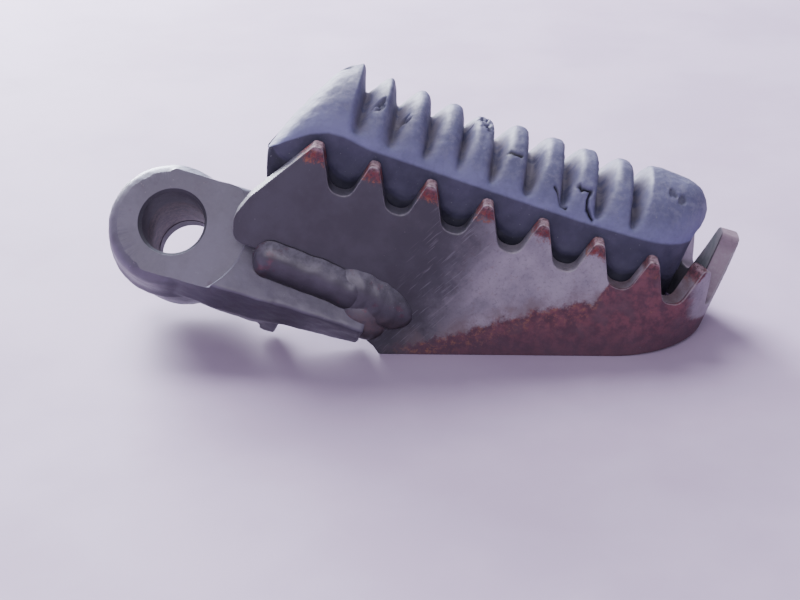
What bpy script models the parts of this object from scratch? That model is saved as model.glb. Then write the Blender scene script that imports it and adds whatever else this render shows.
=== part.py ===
"""Folding motorcycle foot peg: forged pivot arm, toothed steel band and bolted rubber insert.

Everything is drawn in the tread's own frame and hung on one empty that leans it into its resting pose.
Tread frame: x runs outboard along the tooth tips, y runs from the near wall's outer face to the far
wall, z stands square to the tread with the side tooth tips at zero.
"""
import math

import bmesh
import bpy
from mathutils import Matrix, Vector

MM = 0.001
GAP = 0.3

# resting pose
LEAN = math.radians(20.0)
TIP_HEIGHT = 42.5

# toothed band
BAND_T = 3.7
BAND_WIDTH = 33.4
BEND_START = 66.5
BEND_R = BAND_WIDTH / 2
BEND_STEPS = 30
PITCH = 11.0
SIDE_TEETH = 7
NOTCH_T = -7.5
EDGE_CHAMFER = 0.3
WALL_LOW_T = -23.2
NEAR_END = [(-9.2, -13.6, 6.0), (-10.9, -18.4, 4.0), (-9.7, WALL_LOW_T, 2.4)]
FAR_END = [(-6.2, -9.0, 3.0), (-6.6, WALL_LOW_T, 2.4)]
END_TIP_T = 4.2
END_RISE = 0.8

# forged arm and pivot eye
ARM_TILT = math.radians(43.2)
EYE = Vector((-21.76, 5.5, -26.04))
EYE_AXIS = Vector((0.191, 0.765, -0.615)).normalized()
EYE_SHIFT = Vector((-0.66, 0.0, -0.24))
EYE_SHIFT -= EYE_AXIS * EYE_SHIFT.dot(EYE_AXIS)
EYE_LENGTH = 24.4
BORE_R = 6.07
SPOT_R = 15.1
ARM_FACE = -2.95

# bridge plate and rubber insert
BRIDGE_TOP = -11.0
BRIDGE_T = 3.0
BRIDGE_START = -4.0
BRIDGE_END = 71.0
RUBBER_LOW = -10.7
RUBBER_HALF = 12.1
RUBBER_MID = BAND_WIDTH / 2
SHOULDER_T = 2.2
FLOOR_CROWN = 4.2
RIB_CROWN = 8.2
RIB_PITCH = 6.66
RIB_COUNT = 8
RIB_START = 9.5
BLOCK_START = 60.8
NOSE_TOP = 11.2
NOSE_PEAK = 3.3
NOSE_FADE = 8.0
NOSE_SKEW = 0.134
PLATE_START = -2.0
PLATE_T = 1.5

# fasteners of the insert
STUD_S = (31.0, 55.0)
STUD_R = 3.0
HEAD_R = 6.0
HEAD_T = 1.5
WASHER_R = 6.2
WASHER_T = 1.2
SPRING_R = 5.2
SPRING_T = 1.5
NUT_FLATS = 10.0
NUT_T = 4.8
STUD_LOW = -23.6

# local axes of the three drawing planes, as columns: profile x, profile y, extrusion
SIDE_PLANE = Matrix(((1, 0, 0), (0, 0, -1), (0, 1, 0)))
CROSS_PLANE = Matrix(((0, 0, 1), (1, 0, 0), (0, 1, 0)))
PLAN_PLANE = Matrix.Identity(3)


def clear_scene():
    for obj in list(bpy.data.objects):
        bpy.data.objects.remove(obj, do_unlink=True)


def new_collection(name):
    group = bpy.data.collections.new(name)
    bpy.context.scene.collection.children.link(group)
    return group


def new_material(name, colour, roughness, metallic):
    mat = bpy.data.materials.new(name)
    mat.use_nodes = True
    shader = mat.node_tree.nodes["Principled BSDF"]
    shader.inputs["Base Color"].default_value = (*colour, 1.0)
    shader.inputs["Roughness"].default_value = roughness
    shader.inputs["Metallic"].default_value = metallic
    return mat


def place(obj, origin=(0, 0, 0), axes=PLAN_PLANE):
    """Seat an object in the tread frame: origin in millimetres, axes as a 3x3 rotation."""
    obj.parent = ROOT
    obj.matrix_basis = Matrix.Translation(Vector(origin) * MM) @ axes.to_4x4()


def make_part(name, mesh, mat, origin=(0, 0, 0), axes=PLAN_PLANE):
    mesh.name = name
    obj = bpy.data.objects.new(name, mesh)
    mesh.materials.append(mat)
    PARTS.objects.link(obj)
    place(obj, origin, axes)
    return obj


def make_tool(name, mesh, origin=(0, 0, 0), axes=PLAN_PLANE):
    mesh.name = name
    obj = bpy.data.objects.new(name, mesh)
    CUTTERS.objects.link(obj)
    obj.hide_render = True
    obj.display_type = "WIRE"
    place(obj, origin, axes)
    return obj


def boolean(obj, tool, operation):
    mod = obj.modifiers.new(tool.name, "BOOLEAN")
    mod.operation = operation
    mod.solver = "EXACT"
    mod.object = tool


def rounded(corners, steps=4):
    """Closed outline from (x, y, radius) corners, each corner turned into an arc."""
    points = []
    count = len(corners)
    for i, (x, y, radius) in enumerate(corners):
        here = Vector((x, y))
        if radius == 0:
            points.append(here)
            continue
        back = (Vector(corners[i - 1][:2]) - here).normalized()
        ahead = (Vector(corners[(i + 1) % count][:2]) - here).normalized()
        half = back.angle(ahead) / 2
        reach = radius / math.tan(half)
        centre = here + (back + ahead).normalized() * radius / math.sin(half)
        first = here + back * reach - centre
        last = here + ahead * reach - centre
        sweep = first.angle_signed(last)
        for k in range(steps + 1):
            turn = -sweep * k / steps
            points.append(centre + Matrix.Rotation(turn, 2) @ first)
    return points


def slab(name, loops, thickness, edge=0.0, edge_steps=0):
    """Flat solid from closed outlines (inner ones are holes), centred on its own plane."""
    curve = bpy.data.curves.new(name, "CURVE")
    curve.dimensions = "2D"
    curve.fill_mode = "BOTH"
    curve.extrude = (thickness / 2 - edge) * MM
    curve.bevel_depth = edge * MM
    curve.bevel_resolution = edge_steps
    curve.offset = -edge * MM
    for loop in loops:
        spline = curve.splines.new("POLY")
        spline.points.add(len(loop) - 1)
        for point, (x, y) in zip(spline.points, loop):
            point.co = (x * MM, y * MM, 0.0, 1.0)
        spline.use_cyclic_u = True
    holder = bpy.data.objects.new(name, curve)
    bpy.context.scene.collection.objects.link(holder)
    graph = bpy.context.evaluated_depsgraph_get()
    mesh = bpy.data.meshes.new_from_object(holder.evaluated_get(graph))
    bpy.data.objects.remove(holder, do_unlink=True)
    weld_doubles(mesh)
    return mesh


def weld_doubles(mesh):
    bm = bmesh.new()
    bm.from_mesh(mesh)
    bmesh.ops.remove_doubles(bm, verts=bm.verts, dist=0.000005)
    bmesh.ops.recalc_face_normals(bm, faces=bm.faces)
    bm.to_mesh(mesh)
    bm.free()


def cylinder(name, radius, length, sides=48):
    bm = bmesh.new()
    bmesh.ops.create_cone(
        bm, cap_ends=True, segments=sides, radius1=radius * MM, radius2=radius * MM, depth=length * MM
    )
    mesh = bpy.data.meshes.new(name)
    bm.to_mesh(mesh)
    bm.free()
    return mesh


def circle(x, y, radius, sides=32):
    step = 2 * math.pi / sides
    return [(x + radius * math.cos(k * step), y + radius * math.sin(k * step)) for k in range(sides)]


def loft(name, rings):
    """Closed solid through rings that all have the same number of points."""
    bm = bmesh.new()
    verts = [[bm.verts.new(Vector(p) * MM) for p in ring] for ring in rings]
    size = len(rings[0])
    for low, high in zip(verts, verts[1:]):
        for k in range(size):
            bm.faces.new((low[k], low[(k + 1) % size], high[(k + 1) % size], high[k]))
    bm.faces.new(verts[0])
    bm.faces.new(verts[-1])
    bmesh.ops.recalc_face_normals(bm, faces=bm.faces)
    bmesh.ops.triangulate(bm, faces=bm.faces)
    mesh = bpy.data.meshes.new(name)
    bm.to_mesh(mesh)
    bm.free()
    return mesh


def turned(name, profile):
    """Half profile of (radius, height) from top to bottom, for a Screw modifier."""
    mesh = bpy.data.meshes.new(name)
    mesh.from_pydata([(r * MM, 0.0, z * MM) for r, z in profile], [(k, k + 1) for k in range(len(profile) - 1)], [])
    return mesh


def spin(obj, steps=56):
    mod = obj.modifiers.new("turn", "SCREW")
    mod.axis = "Z"
    mod.angle = 2 * math.pi
    mod.steps = steps
    mod.render_steps = steps
    mod.use_merge_vertices = True
    mod.merge_threshold = 0.00001


def floor_t(s):
    """Height in the tread frame of the surface the peg rests on, under the point s."""
    return (s * math.sin(LEAN) - TIP_HEIGHT) / math.cos(LEAN)


def blank_top():
    """Toothed edge of the flat blank from the inboard tooth to the end tooth's tip."""
    corners = [(-0.9, 0.1, 0.8)]
    for k in range(SIDE_TEETH):
        s = k * PITCH
        corners.append((s + 0.8, 0.1, 0.8))
        corners.append((s + 4.2, NOTCH_T, 1.6))
        corners.append((s + 8.4, NOTCH_T, 1.7))
        corners.append((s + PITCH - 0.9, 0.1, 0.8))
    corner_tip = BEND_START + BEND_R * math.radians(38.5)
    corners[-2:] = [(corner_tip - 3.0, NOTCH_T, 1.7), (corner_tip - 1.1, 0.1, 0.8)]
    end_notch = BEND_START + BEND_R * math.radians(60.0)
    corners.append((corner_tip + 0.9, 0.1, 0.8))
    corners.append((end_notch - 1.6, -8.0, 1.6))
    corners.append((end_notch + 1.8, -8.0, 1.6))
    corners.append((BEND_START + BEND_R * math.pi / 2 - 2.4, END_TIP_T, 1.1))
    return corners


def blank_bottom(inboard_end):
    """Lower edge of the flat blank from the inboard end to the middle of the bend."""
    corners = inboard_end + [
        (19.0, WALL_LOW_T, 1.6),
        (20.4, -34.6, 0.8),
        (22.0, -35.2, 0.8),
        (23.7, floor_t(23.7), 0.5),
    ]
    half = BEND_STEPS // 2
    for k in range(half + 1):
        angle = math.pi / 2 * k / half
        s = BEND_START + BEND_R * math.sin(angle)
        lift = END_RISE * math.sin(angle)
        corners.append((BEND_START + BEND_R * angle, floor_t(s) + lift, 0))
    return corners


def bend(mesh):
    """Wrap the flat blank round the outer end; the blank's near face becomes the outer skin."""
    bm = bmesh.new()
    bm.from_mesh(mesh)
    turn = math.pi / BEND_STEPS
    for k in range(BEND_STEPS + 1):
        cut = (BEND_START + BEND_R * turn * k) * MM
        everything = bm.verts[:] + bm.edges[:] + bm.faces[:]
        bmesh.ops.bisect_plane(bm, geom=everything, dist=1e-7, plane_co=(cut, 0, 0), plane_no=(1, 0, 0))
    bmesh.ops.triangulate(bm, faces=bm.faces)
    arc = BEND_R * math.pi
    for vert in bm.verts:
        u = vert.co.x / MM
        depth = BAND_T / 2 - vert.co.z / MM
        if u <= BEND_START:
            s, y = u, depth
        elif u < BEND_START + arc:
            angle = (u - BEND_START) / BEND_R
            s = BEND_START + (BEND_R - depth) * math.sin(angle)
            y = BEND_R - (BEND_R - depth) * math.cos(angle)
        else:
            s, y = 2 * BEND_START + arc - u, BAND_WIDTH - depth
        vert.co = Vector((s, y, vert.co.y / MM)) * MM
    bmesh.ops.recalc_face_normals(bm, faces=bm.faces)
    bm.to_mesh(mesh)
    bm.free()


def make_band():
    near = blank_bottom(NEAR_END)[::-1] + blank_top()
    far = blank_bottom(FAR_END)[::-1] + blank_top()
    middle = BEND_START + BEND_R * math.pi / 2
    far = [(2 * middle - u, t, r) for u, t, r in reversed(far)]
    outline = rounded(near + far[:-1])
    mesh = slab("tread_band", [outline], BAND_T, EDGE_CHAMFER)
    bend(mesh)
    return make_part("tread_band", mesh, STEEL)


def arm_ring(p_mid, p_slope, face, part, part_n, back, back_n):
    """Six-sided arm section with its widest line at the forging's parting plane."""
    section = (
        (face[0], ARM_FACE),
        (face[1], ARM_FACE),
        (part[1], part_n),
        (back[1], back_n),
        (back[0], back_n),
        (part[0], part_n),
    )
    return [(p_mid + p_slope * q, q, -n) for q, n in section]


def make_forging():
    arm_axes = Matrix((
        (1, 0, 0),
        (0, math.sin(ARM_TILT), -math.cos(ARM_TILT)),
        (0, math.cos(ARM_TILT), math.sin(ARM_TILT)),
    ))
    rings = [
        arm_ring(-3.0, 0.0, (-9.6, 9.6), (-11.2, 11.4), 6.0, (-9.0, 9.0), 12.4),
        arm_ring(12.0, 0.0, (-10.4, 10.0), (-11.6, 12.8), 6.5, (-10.6, 10.5), 12.8),
        arm_ring(20.5, 0.0, (-10.2, 10.0), (-11.4, 12.8), 6.5, (-10.8, 10.2), 12.6),
        arm_ring(26.0, 0.0, (-9.9, 10.0), (-10.9, 12.6), 5.6, (-9.8, 10.4), 9.0),
        arm_ring(40.0, -0.09, (-9.8, 10.0), (-10.3, 12.4), 3.8, (-9.0, 10.4), 6.8),
    ]
    forging = make_part("pivot_forging", loft("pivot_forging", rings), FORGED, EYE, arm_axes)
    edge = forging.modifiers.new("edge", "BEVEL")
    edge.width = 0.0009
    edge.segments = 2
    edge.limit_method = "ANGLE"
    edge.angle_limit = math.radians(30)

    out = -EYE_AXIS
    across = Vector((1, 0, 0)) - out * out.x
    across.normalize()
    eye_axes = Matrix((across, out.cross(across), out)).transposed()
    corner = [math.radians(a) for a in (90, 67.5, 45, 22.5, 0)]
    profile = [(0.0, 0.0)]
    profile += [(9.5 + 2.6 * math.cos(a), 2.6 * (math.sin(a) - 1)) for a in corner]
    profile.append((12.8, -8.0))
    profile += [(9.1 + 2.0 * math.cos(a), -EYE_LENGTH + 2.0 * (1 - math.sin(a))) for a in reversed(corner)]
    profile.append((0.0, -EYE_LENGTH))
    eye = make_tool("eye_blank", turned("eye_blank", profile), EYE + EYE_SHIFT, eye_axes)
    spin(eye)
    boolean(forging, eye, "UNION")

    heel = loft("stop_heel", [
        [(p, q, -n) for q, n in ((-10.6, 5.0), (-4.6, 5.0), (-6.2, 13.8), (-11.4, 13.9))]
        for p in (22.0, 25.4)
    ])
    heel_tool = make_tool("stop_heel", heel, EYE, arm_axes)
    boolean(forging, heel_tool, "UNION")

    spot = cylinder("spot_facer", SPOT_R, 14.0, 64)
    spot_tool = make_tool("spot_facer", spot, EYE + out * 7.0, eye_axes)
    boolean(forging, spot_tool, "DIFFERENCE")
    reamer = cylinder("pivot_reamer", BORE_R, EYE_LENGTH * 2, 56)
    reamer_tool = make_tool("pivot_reamer", reamer, EYE - out * EYE_LENGTH / 2, eye_axes)
    boolean(forging, reamer_tool, "DIFFERENCE")
    return forging


def cross_outline(half, low, shoulder, crown, steps=20):
    """Section across the insert: straight flanks up to the shoulder, then half an ellipse."""
    outline = [(RUBBER_MID - half, low), (RUBBER_MID + half, low)]
    for k in range(steps + 1):
        angle = math.pi * k / steps
        outline.append((RUBBER_MID + half * math.cos(angle), shoulder + crown * math.sin(angle)))
    return outline


def plan_outline(inset, start, nose_r, end, skew=0.0):
    """Plan of the insert: rounded inboard corners and a semicircular outboard end."""
    half = RUBBER_HALF - inset
    near = RUBBER_MID - half
    far = RUBBER_MID + half
    return rounded([
        (start, near, nose_r),
        (end, near, half * 0.999),
        (end, far, half * 0.999),
        (start + skew, far, nose_r),
    ], 10)


def across(name, outline, start, end, edge=0.0, edge_steps=0):
    mesh = slab(name, [outline], end - start, edge, edge_steps)
    return make_tool(name, mesh, ((start + end) / 2, 0, 0), CROSS_PLANE)


def skew_nose(mesh):
    """Slide the nose end of the side cutter outboard towards the far side of the peg."""
    bm = bmesh.new()
    bm.from_mesh(mesh)
    bmesh.ops.triangulate(bm, faces=bm.faces)
    for vert in bm.verts:
        fade = min(max((NOSE_PEAK * MM - vert.co.x) / (NOSE_FADE * MM), 0.0), 1.0)
        vert.co.x += NOSE_SKEW * (RUBBER_HALF * MM - vert.co.z) * fade
    bm.to_mesh(mesh)
    bm.free()


def make_rubber():
    core = cross_outline(RUBBER_HALF, RUBBER_LOW, SHOULDER_T, FLOOR_CROWN)
    mesh = slab("rubber_insert", [core], 88.0)
    rubber = make_part("rubber_insert", mesh, RUBBER, (33.5, 0, 0), CROSS_PLANE)

    nose = across("nose_block", cross_outline(RUBBER_HALF - 0.6, -6.0, SHOULDER_T, NOSE_TOP - SHOULDER_T), -12.0, 4.4)
    boolean(rubber, nose, "UNION")
    rib = cross_outline(RUBBER_HALF - 0.15, -5.0, SHOULDER_T, RIB_CROWN)
    for k in range(RIB_COUNT):
        middle = RIB_START + k * RIB_PITCH
        tool = across(f"rib_{k + 1}", rib, middle - 2.1, middle + 2.1, 1.7, 2)
        boolean(rubber, tool, "UNION")
    block = across("end_block", cross_outline(RUBBER_HALF - 0.2, -4.0, SHOULDER_T, RIB_CROWN), BLOCK_START, 80.0)
    boolean(rubber, block, "UNION")

    side = rounded([
        (-7.1, RUBBER_LOW - 1.0, 0),
        (-9.1, -5.8, 0.8),
        (-5.9, 0.4, 6.0),
        (-2.6, 5.6, 6.0),
        (2.9, NOSE_TOP, 0.6),
        (4.2, 6.5, 0),
        (5.6, 6.3, 0),
        (6.4, 14.0, 0),
        (74.4, 14.0, 0),
        (74.4, RUBBER_LOW - 1.0, 0),
    ])
    mesh = slab("side_trim", [side], 60.0)
    skew_nose(mesh)
    boolean(rubber, make_tool("side_trim", mesh, (0, RUBBER_MID, 0), SIDE_PLANE), "INTERSECT")
    plan = plan_outline(-0.02, -9.4, 2.5, 74.4, 2 * RUBBER_HALF * NOSE_SKEW)
    mesh = slab("plan_trim", [plan], 40.0)
    boolean(rubber, make_tool("plan_trim", mesh), "INTERSECT")

    recess = slab("plate_recess", [plan_outline(2.0 - GAP, PLATE_START - GAP, 3.0, 72.0 + GAP)], PLATE_T + 2.3)
    centre = RUBBER_LOW + PLATE_T - (PLATE_T + 2.3) / 2 + GAP
    boolean(rubber, make_tool("plate_recess", recess, (0, 0, centre)), "DIFFERENCE")
    for k, s in enumerate(STUD_S):
        pocket = cylinder(f"head_pocket_{k + 1}", HEAD_R + GAP, 6.0)
        top = RUBBER_LOW + PLATE_T + 2 * GAP + HEAD_T
        tool = make_tool(f"head_pocket_{k + 1}", pocket, (s, RUBBER_MID, top - 3.0 + GAP))
        boolean(rubber, tool, "DIFFERENCE")
    return rubber


def make_plates():
    holes = [circle(s, RUBBER_MID, STUD_R + GAP) for s in STUD_S]
    base = slab("insert_base_plate", [plan_outline(2.0, PLATE_START, 3.0, 72.0)] + holes, PLATE_T)
    make_part("insert_base_plate", base, ZINC, (0, 0, RUBBER_LOW + PLATE_T / 2))
    near = BAND_T + GAP
    far = BAND_WIDTH - near
    outline = rounded([
        (BRIDGE_START, near, 1.5),
        (BRIDGE_END, near, 9.0),
        (BRIDGE_END, far, 9.0),
        (BRIDGE_START, far, 1.5),
    ], 8)
    holes = [circle(s, RUBBER_MID, STUD_R + 0.5) for s in STUD_S]
    bridge = slab("bridge_plate", [outline] + holes, BRIDGE_T, EDGE_CHAMFER)
    make_part("bridge_plate", bridge, STEEL, (0, 0, BRIDGE_TOP - BRIDGE_T / 2))


def make_fasteners():
    for side, s in zip(("inboard", "outboard"), STUD_S):
        head_low = RUBBER_LOW + PLATE_T + GAP
        stud = turned("stud", [
            (0.0, head_low + HEAD_T),
            (HEAD_R, head_low + HEAD_T),
            (HEAD_R, head_low),
            (STUD_R, head_low),
            (STUD_R, STUD_LOW + 0.8),
            (STUD_R - 0.8, STUD_LOW),
            (0.0, STUD_LOW),
        ])
        part = make_part(f"insert_stud_{side}", stud, ZINC, (s, RUBBER_MID, 0))
        spin(part, 40)

        top = BRIDGE_TOP - BRIDGE_T - GAP
        hole = circle(0, 0, STUD_R + GAP)
        washer = slab("washer", [circle(0, 0, WASHER_R, 40), hole], WASHER_T)
        make_part(f"plain_washer_{side}", washer, ZINC, (s, RUBBER_MID, top - WASHER_T / 2))

        top -= WASHER_T + GAP
        slit = math.radians(6)
        sweep = [slit + (2 * math.pi - 2 * slit) * k / 40 for k in range(41)]
        split = [(SPRING_R * math.cos(a), SPRING_R * math.sin(a)) for a in sweep]
        inner = STUD_R + GAP
        split += [(inner * math.cos(a), inner * math.sin(a)) for a in reversed(sweep)]
        make_part(
            f"spring_washer_{side}", slab("spring", [split], SPRING_T), ZINC, (s, RUBBER_MID, top - SPRING_T / 2)
        )

        top -= SPRING_T + GAP
        hexagon = circle(0, 0, NUT_FLATS / math.sqrt(3), 6)
        nut = slab("nut", [hexagon, hole], NUT_T, EDGE_CHAMFER)
        make_part(f"hex_nut_{side}", nut, ZINC, (s, RUBBER_MID, top - NUT_T / 2))


def bead(name, section, start, end, edge):
    mesh = slab(name, [rounded(section)], end - start, edge, 2)
    return make_part(name, mesh, WELD, ((start + end) / 2, 0, 0), CROSS_PLANE)


def make_welds():
    root = WALL_LOW_T - GAP
    bead("weld_near_first_pass", [
        (-GAP, root, 0),
        (-GAP, -21.1, 0),
        (-2.3, -22.6, 1.4),
        (-2.9, -26.2, 1.4),
        (-0.9, -27.9, 0),
        (3.0, root, 0),
    ], -4.6, 11.6, 0.5)
    second = bead("weld_near_second_pass", [
        (-GAP, root, 0),
        (-GAP, -20.8, 0),
        (-2.9, -22.0, 1.5),
        (-3.6, -27.0, 1.5),
        (-2.0, -29.2, 0),
        (3.0, root, 0),
    ], 11.9, 18.8, 0.5)
    pad = rounded([
        (17.0, -20.9, 1.5),
        (23.6, -20.9, 2.4),
        (26.0, -24.6, 2.4),
        (24.4, -28.9, 2.4),
        (19.8, -29.4, 1.2),
        (17.2, -25.0, 1.0),
    ])
    wrap = make_tool("weld_wrap", slab("weld_wrap", [pad], 1.9, 0.7, 2), (0, -GAP - 0.95, 0), SIDE_PLANE)
    boolean(second, wrap, "UNION")
    under = BRIDGE_TOP - BRIDGE_T - GAP
    bead("weld_arm_to_bridge", [
        (7.6, under, 0),
        (9.2, under - 2.0, 0.8),
        (11.6, under - 2.0, 0.8),
        (13.6, under, 0),
    ], -2.0, 17.0, 0.5)
    near = BAND_T + GAP
    for side, mirror in (("near", False), ("far", True)):
        for place_name, start, end in (("inboard", 1.0, 13.0), ("outboard", 42.0, 58.0)):
            section = [(near, under, 0), (near + 3.0, under, 0), (near, under - 3.0, 0)]
            if mirror:
                section = [(BAND_WIDTH - y, t, r) for y, t, r in section]
            bead(f"stitch_weld_{side}_{place_name}", section, start, end, 0.4)


def finish(obj):
    obj.data.shade_smooth()
    obj.data.set_sharp_from_angle(angle=math.radians(35))


def seat():
    """Lean the peg as it rests and put the origin under the middle of its bounding box."""
    ROOT.rotation_euler = (0, LEAN, 0)
    bpy.context.view_layer.update()
    graph = bpy.context.evaluated_depsgraph_get()
    low = Vector((1e9, 1e9, 1e9))
    high = -low
    for obj in PARTS.objects:
        shape = obj.evaluated_get(graph)
        if obj.type != "MESH":
            continue
        for vert in shape.data.vertices:
            spot = shape.matrix_world @ vert.co
            low = Vector(map(min, low, spot))
            high = Vector(map(max, high, spot))
    ROOT.location = (-(low.x + high.x) / 2, -(low.y + high.y) / 2, -low.z)
    bpy.context.view_layer.update()


clear_scene()
PARTS = new_collection("foot_peg")
CUTTERS = new_collection("foot_peg_cutters")
ROOT = bpy.data.objects.new("foot_peg_lean", None)
PARTS.objects.link(ROOT)

FORGED = new_material("forged_black", (0.035, 0.034, 0.038), 0.5, 0.3)
STEEL = new_material("worn_steel", (0.11, 0.105, 0.105), 0.55, 0.4)
WELD = new_material("weld_metal", (0.06, 0.055, 0.055), 0.5, 0.4)
RUBBER = new_material("grip_rubber", (0.028, 0.032, 0.042), 0.7, 0.0)
ZINC = new_material("zinc_steel", (0.42, 0.41, 0.38), 0.4, 0.9)

make_band()
make_forging()
make_rubber()
make_plates()
make_fasteners()
make_welds()
for part in PARTS.objects:
    if part.type == "MESH":
        finish(part)
seat()
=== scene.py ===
"""Looks of the folding foot peg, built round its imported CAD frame."""
import math
import random

import bmesh
import bpy
import numpy as np
from mathutils import Matrix, Vector, noise


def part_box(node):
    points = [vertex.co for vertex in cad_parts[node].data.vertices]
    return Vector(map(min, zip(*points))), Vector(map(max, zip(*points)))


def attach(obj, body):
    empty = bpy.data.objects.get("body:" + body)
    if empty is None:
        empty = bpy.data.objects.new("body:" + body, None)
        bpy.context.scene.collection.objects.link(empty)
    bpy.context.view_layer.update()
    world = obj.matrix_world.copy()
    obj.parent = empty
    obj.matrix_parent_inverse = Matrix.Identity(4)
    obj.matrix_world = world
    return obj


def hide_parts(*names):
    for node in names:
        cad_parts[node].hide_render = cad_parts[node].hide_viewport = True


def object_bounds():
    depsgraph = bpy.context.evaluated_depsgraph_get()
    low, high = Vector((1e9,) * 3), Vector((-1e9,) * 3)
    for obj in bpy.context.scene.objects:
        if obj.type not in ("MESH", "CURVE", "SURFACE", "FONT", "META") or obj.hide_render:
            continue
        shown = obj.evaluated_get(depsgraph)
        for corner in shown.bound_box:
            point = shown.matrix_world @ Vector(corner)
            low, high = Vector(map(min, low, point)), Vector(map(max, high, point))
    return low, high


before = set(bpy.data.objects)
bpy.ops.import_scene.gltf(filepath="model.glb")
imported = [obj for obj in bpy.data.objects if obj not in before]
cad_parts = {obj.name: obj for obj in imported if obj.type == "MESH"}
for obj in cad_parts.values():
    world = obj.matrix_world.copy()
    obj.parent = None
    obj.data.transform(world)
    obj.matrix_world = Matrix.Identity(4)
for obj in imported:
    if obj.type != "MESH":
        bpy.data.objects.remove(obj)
CAD_BOUNDS = [[float(v) for v in corner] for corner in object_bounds()]

MM = 0.001
LEAN = math.radians(20.0)
TIP_HEIGHT = 42.5
BAND_REACH = 79.516
BAND_LOW, BAND_HIGH = (Vector(corner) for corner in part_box("tread_band"))
FLOOR_Z = CAD_BOUNDS[0][2]
ORIGIN = Vector((BAND_HIGH.x - BAND_REACH * MM, BAND_LOW.y, FLOOR_Z + TIP_HEIGHT * MM))
TREAD_AXES = Matrix.Rotation(LEAN, 3, "Y")
rng = random.Random(7)

# toothed band
BAND_T = 3.7
BAND_WIDTH = 33.4
BEND_START = 66.5
BEND_R = BAND_WIDTH / 2
BEND_STEPS = 60
PITCH = 11.0
SIDE_TEETH = 7
NOTCH_T = -7.5
WALL_LOW_T = -23.2
NEAR_END = [(-9.2, -13.6, 6.0), (-10.9, -18.4, 4.0), (-9.7, WALL_LOW_T, 2.4)]
FAR_END = [(-6.2, -9.0, 3.0), (-6.6, WALL_LOW_T, 2.4)]
END_TIP_T = 4.2
END_RISE = 0.8
EDGE_R = 0.3
SLIVER = 0.0005

# forged arm
ARM_TILT = math.radians(43.2)
ARM_FACE = -2.95
EYE = Vector((-21.76, 5.5, -26.04))
EYE_AXIS = Vector((0.191, 0.765, -0.615)).normalized()
EYE_SHIFT = Vector((-0.66, 0.0, -0.24))
EYE_SHIFT -= EYE_AXIS * EYE_SHIFT.dot(EYE_AXIS)
EYE_LENGTH = 24.4
BORE_R = 6.07
SPOT_R = 15.1

# rubber insert
RUBBER_LOW = -10.7
RUBBER_HALF = 12.1
RUBBER_MID = BAND_WIDTH / 2
NOSE_START = -9.35
NOSE_LENGTH = 2.5
NOSE_HINGE = 4.6
NOSE_FADE = 8.0
PEAK_S = 3.3
TAIL_START = 62.3
TAIL_LENGTH = 12.1
RIB_START = 9.5
RIB_PITCH = 6.66
RIB_COUNT = 8
RIB_SHIFT = (0.1, 0.2, 0.1, -0.4, -0.3, 0.3, 0.5, 0.9)
PLATE_T = 1.5
PLATE_FROM = -2.3
PLATE_TO = 72.3
PLATE_RIM = 1.7

# fasteners
STUD_S = (31.0, 55.0)
STUD_R = 3.0
STUD_LOW = -23.6
STUD_HEAD_R = 6.0
STUD_HEAD_TOP = RUBBER_LOW + PLATE_T + 1.8


# ---------------------------------------------------------------- geometry helpers

def add_mesh(name, mesh):
    obj = bpy.data.objects.new(name, mesh)
    bpy.context.scene.collection.objects.link(obj)
    return obj


def seat(obj):
    """Bake a mesh drawn in tread-frame millimetres into world metres."""
    matrix = Matrix.Translation(ORIGIN) @ TREAD_AXES.to_4x4() @ Matrix.Scale(MM, 4)
    obj.data.transform(matrix)
    obj.data.update()


def smooth(obj, angle=35.0):
    obj.data.shade_smooth()
    obj.data.set_sharp_from_angle(angle=math.radians(angle))


def weight_normals(obj):
    mod = obj.modifiers.new("weighted", "WEIGHTED_NORMAL")
    mod.keep_sharp = True
    mod.weight = 90


def apply_modifiers(obj):
    """Replace an object's mesh by its evaluated mesh and drop the modifiers."""
    graph = bpy.context.evaluated_depsgraph_get()
    mesh = bpy.data.meshes.new_from_object(obj.evaluated_get(graph))
    obj.modifiers.clear()
    old = obj.data
    obj.data = mesh
    bpy.data.meshes.remove(old)


def drop(*objs):
    for obj in objs:
        bpy.data.objects.remove(obj, do_unlink=True)


def rounded(corners, steps=6):
    """Closed outline from (x, y, radius) corners, each corner turned into an arc."""
    points = []
    count = len(corners)
    for i, (x, y, radius) in enumerate(corners):
        here = Vector((x, y))
        if radius == 0:
            points.append(here)
            continue
        back = (Vector(corners[i - 1][:2]) - here).normalized()
        ahead = (Vector(corners[(i + 1) % count][:2]) - here).normalized()
        half = back.angle(ahead) / 2
        reach = radius / math.tan(half)
        centre = here + (back + ahead).normalized() * radius / math.sin(half)
        first = here + back * reach - centre
        last = here + ahead * reach - centre
        sweep = first.angle_signed(last)
        for k in range(steps + 1):
            points.append(centre + Matrix.Rotation(-sweep * k / steps, 2) @ first)
    return points


def slab(name, loops, thickness, edge=0.0, edge_steps=0):
    """Flat solid in millimetres from closed outlines, centred on its own plane."""
    curve = bpy.data.curves.new(name, "CURVE")
    curve.dimensions = "2D"
    curve.fill_mode = "BOTH"
    curve.extrude = thickness / 2 - edge
    curve.bevel_depth = edge
    curve.bevel_resolution = edge_steps
    curve.offset = -edge
    for loop in loops:
        spline = curve.splines.new("POLY")
        spline.points.add(len(loop) - 1)
        for point, (x, y) in zip(spline.points, loop):
            point.co = (x, y, 0.0, 1.0)
        spline.use_cyclic_u = True
    holder = add_mesh(name, curve)
    graph = bpy.context.evaluated_depsgraph_get()
    mesh = bpy.data.meshes.new_from_object(holder.evaluated_get(graph))
    drop(holder)
    bm = bmesh.new()
    bm.from_mesh(mesh)
    bmesh.ops.remove_doubles(bm, verts=bm.verts, dist=0.005)
    bmesh.ops.recalc_face_normals(bm, faces=bm.faces)
    bm.to_mesh(mesh)
    bm.free()
    return mesh


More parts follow.
